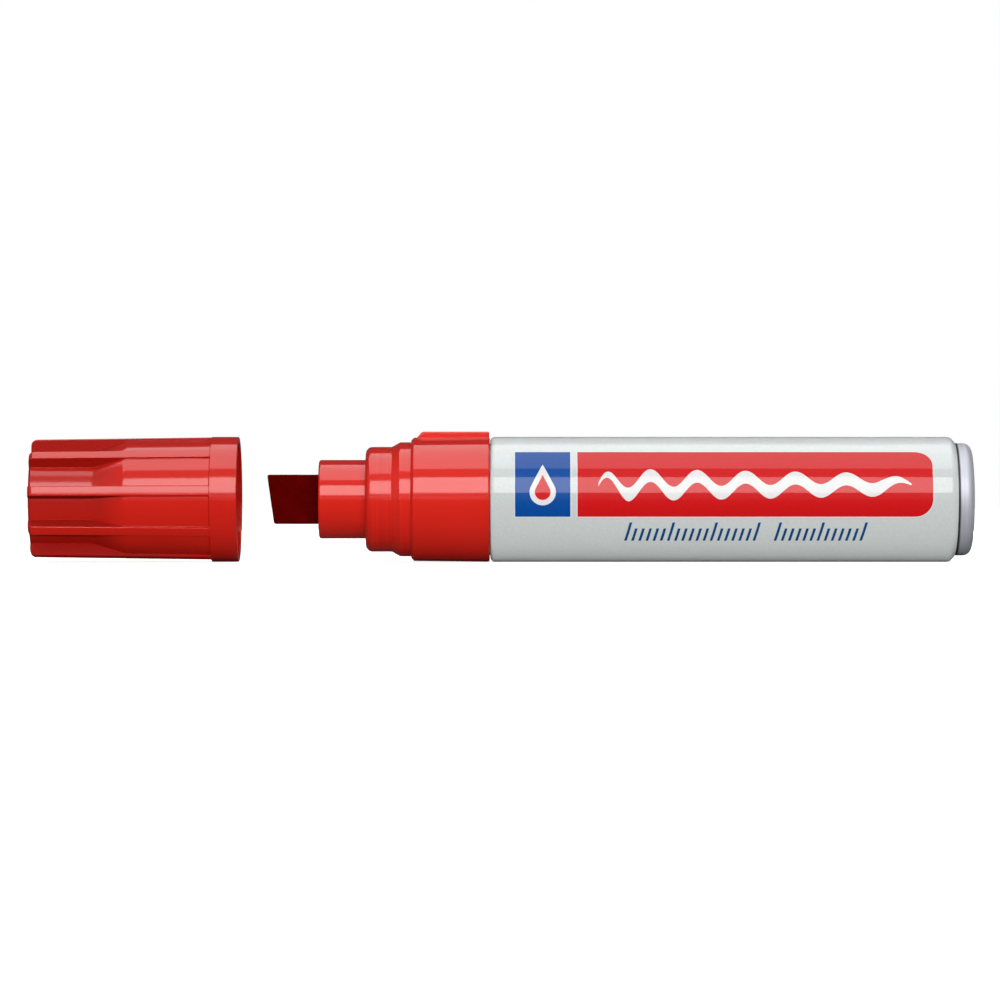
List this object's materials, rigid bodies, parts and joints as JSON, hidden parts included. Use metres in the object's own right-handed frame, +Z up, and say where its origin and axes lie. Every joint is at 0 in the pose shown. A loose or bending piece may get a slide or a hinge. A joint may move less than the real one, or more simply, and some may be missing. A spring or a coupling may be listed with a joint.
{
  "type": "felt tip marker",
  "caption": "Jumbo permanent marker with a chisel nib, a stepped front housing, an aluminium barrel and a ribbed pull-off cap.",
  "frame": {"origin": "on the surface it lies on, under the middle of the whole object with its cap pulled off in line", "axes": "+X along the pen's axis from the cap's closed end to the barrel's base; +Z up, through the anti-roll lug"},
  "size_m": [0.1806, 0.024, 0.025],
  "materials": {
    "cap_red": "glossy moulded polypropylene",
    "liner_plastic": "natural polyethylene, satin",
    "nib_felt": "bonded felt soaked in dark red ink",
    "housing_red": "glossy moulded polypropylene",
    "holder_plastic": "natural polypropylene, satin",
    "seal_rubber": "matt black rubber",
    "ink_fibre": "bonded fibre soaked in red ink",
    "wrap_film": "clear film",
    "strip_plastic": "extruded polypropylene",
    "spacer_plastic": "moulded polypropylene",
    "barrel_lacquer": "light grey satin lacquer with red and blue print, bare stepped base"
  },
  "bodies": {
    "marker": {"barrel": "barrel_lacquer", "front_housing": "housing_red", "sealing_ring": "seal_rubber", "nib_holder": "holder_plastic", "reservoir_core": "ink_fibre", "reservoir_wrap": "wrap_film", "breather_strip": "strip_plastic", "rear_spacer": "spacer_plastic"},
    "cap": {"cap_shell": "cap_red", "cap_liner": "liner_plastic"},
    "nib": {"nib": "nib_felt"}
  },
  "joints": [
    {"name": "cap_slide", "type": "slide", "parent": "marker", "child": "cap", "axis": [1, 0, 0], "range_m": [0, 0.033]},
    {"name": "nib_slide", "type": "slide", "parent": "marker", "child": "nib", "axis": [-1, 0, 0], "range_m": [0, 0.009]}
  ]
}
